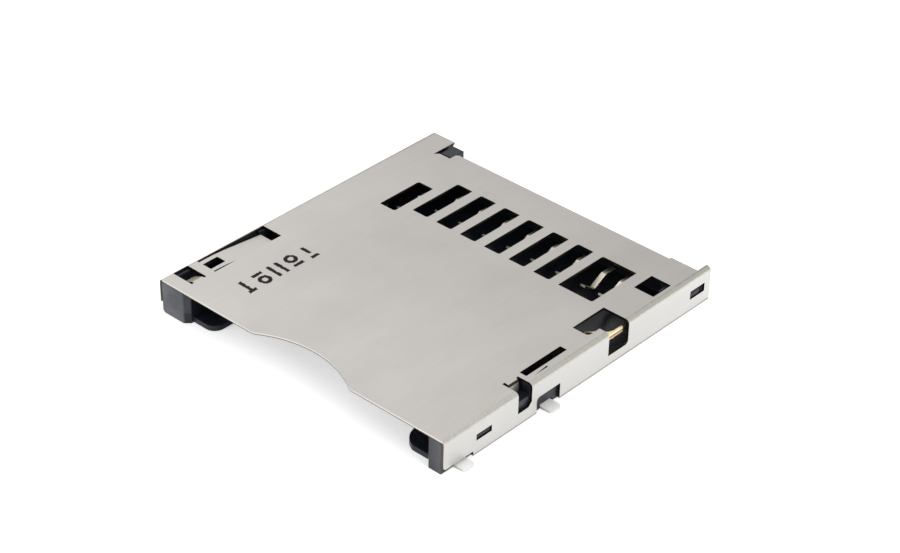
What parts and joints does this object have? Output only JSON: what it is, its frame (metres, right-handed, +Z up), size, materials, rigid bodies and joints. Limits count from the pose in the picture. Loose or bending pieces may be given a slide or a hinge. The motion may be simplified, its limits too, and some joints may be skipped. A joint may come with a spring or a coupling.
{
  "type": "memory card socket",
  "caption": "Surface-mount push-push memory card socket: folded steel cover, moulded housing, sprung contacts, card and write-protect switches and a sprung ejector slider.",
  "frame": {"origin": "on the board face, under the middle of the cover", "axes": "+Z up from the board to the cover, +Y from the card mouth to the back, +X to the side with the switches"},
  "size_m": [0.0306, 0.03, 0.0029],
  "materials": {
    "cover_steel": "satin rolled sheet",
    "housing_plastic": "matte moulded",
    "slider_plastic": "matte moulded",
    "wire_steel": "drawn wire",
    "contact_gold": "gold plated",
    "leg_tin": "bright tin plate"
  },
  "bodies": {
    "base": {"cover": "cover_steel", "housing": "housing_plastic", "contact_1": "contact_gold", "contact_2": "contact_gold", "contact_3": "contact_gold", "contact_4": "contact_gold", "contact_5": "contact_gold", "contact_6": "contact_gold", "contact_7": "contact_gold", "contact_8": "contact_gold", "contact_9": "contact_gold", "write_protect_spring": "contact_gold", "card_detect_spring": "contact_gold", "write_protect_contact": "contact_gold", "card_detect_contact": "contact_gold", "solder_leg_front_right": "leg_tin", "solder_leg_front_left": "leg_tin", "solder_leg_middle_right": "leg_tin", "solder_leg_middle_left": "leg_tin", "eject_spring": "wire_steel"},
    "slider_body": {"slider": "slider_plastic"},
    "rod_body": {"follower_rod": "wire_steel"}
  },
  "joints": [
    {"name": "slider_slide", "type": "slide", "parent": "base", "child": "slider_body", "axis": [0, 1, 0], "range_m": [0, 0.0063], "stiffness_N_per_m": 300, "deforming": ["eject_spring"]},
    {"name": "rod_swing", "type": "hinge", "parent": "base", "child": "rod_body", "pos_m": [-0.013, -0.013, 0.002], "axis": [0, 0, 1], "range_deg": [0, 4.14]}
  ],
  "couplings": [
    {"joint": "rod_swing", "follows": "slider_slide", "rad_per_m": 11.477}
  ]
}
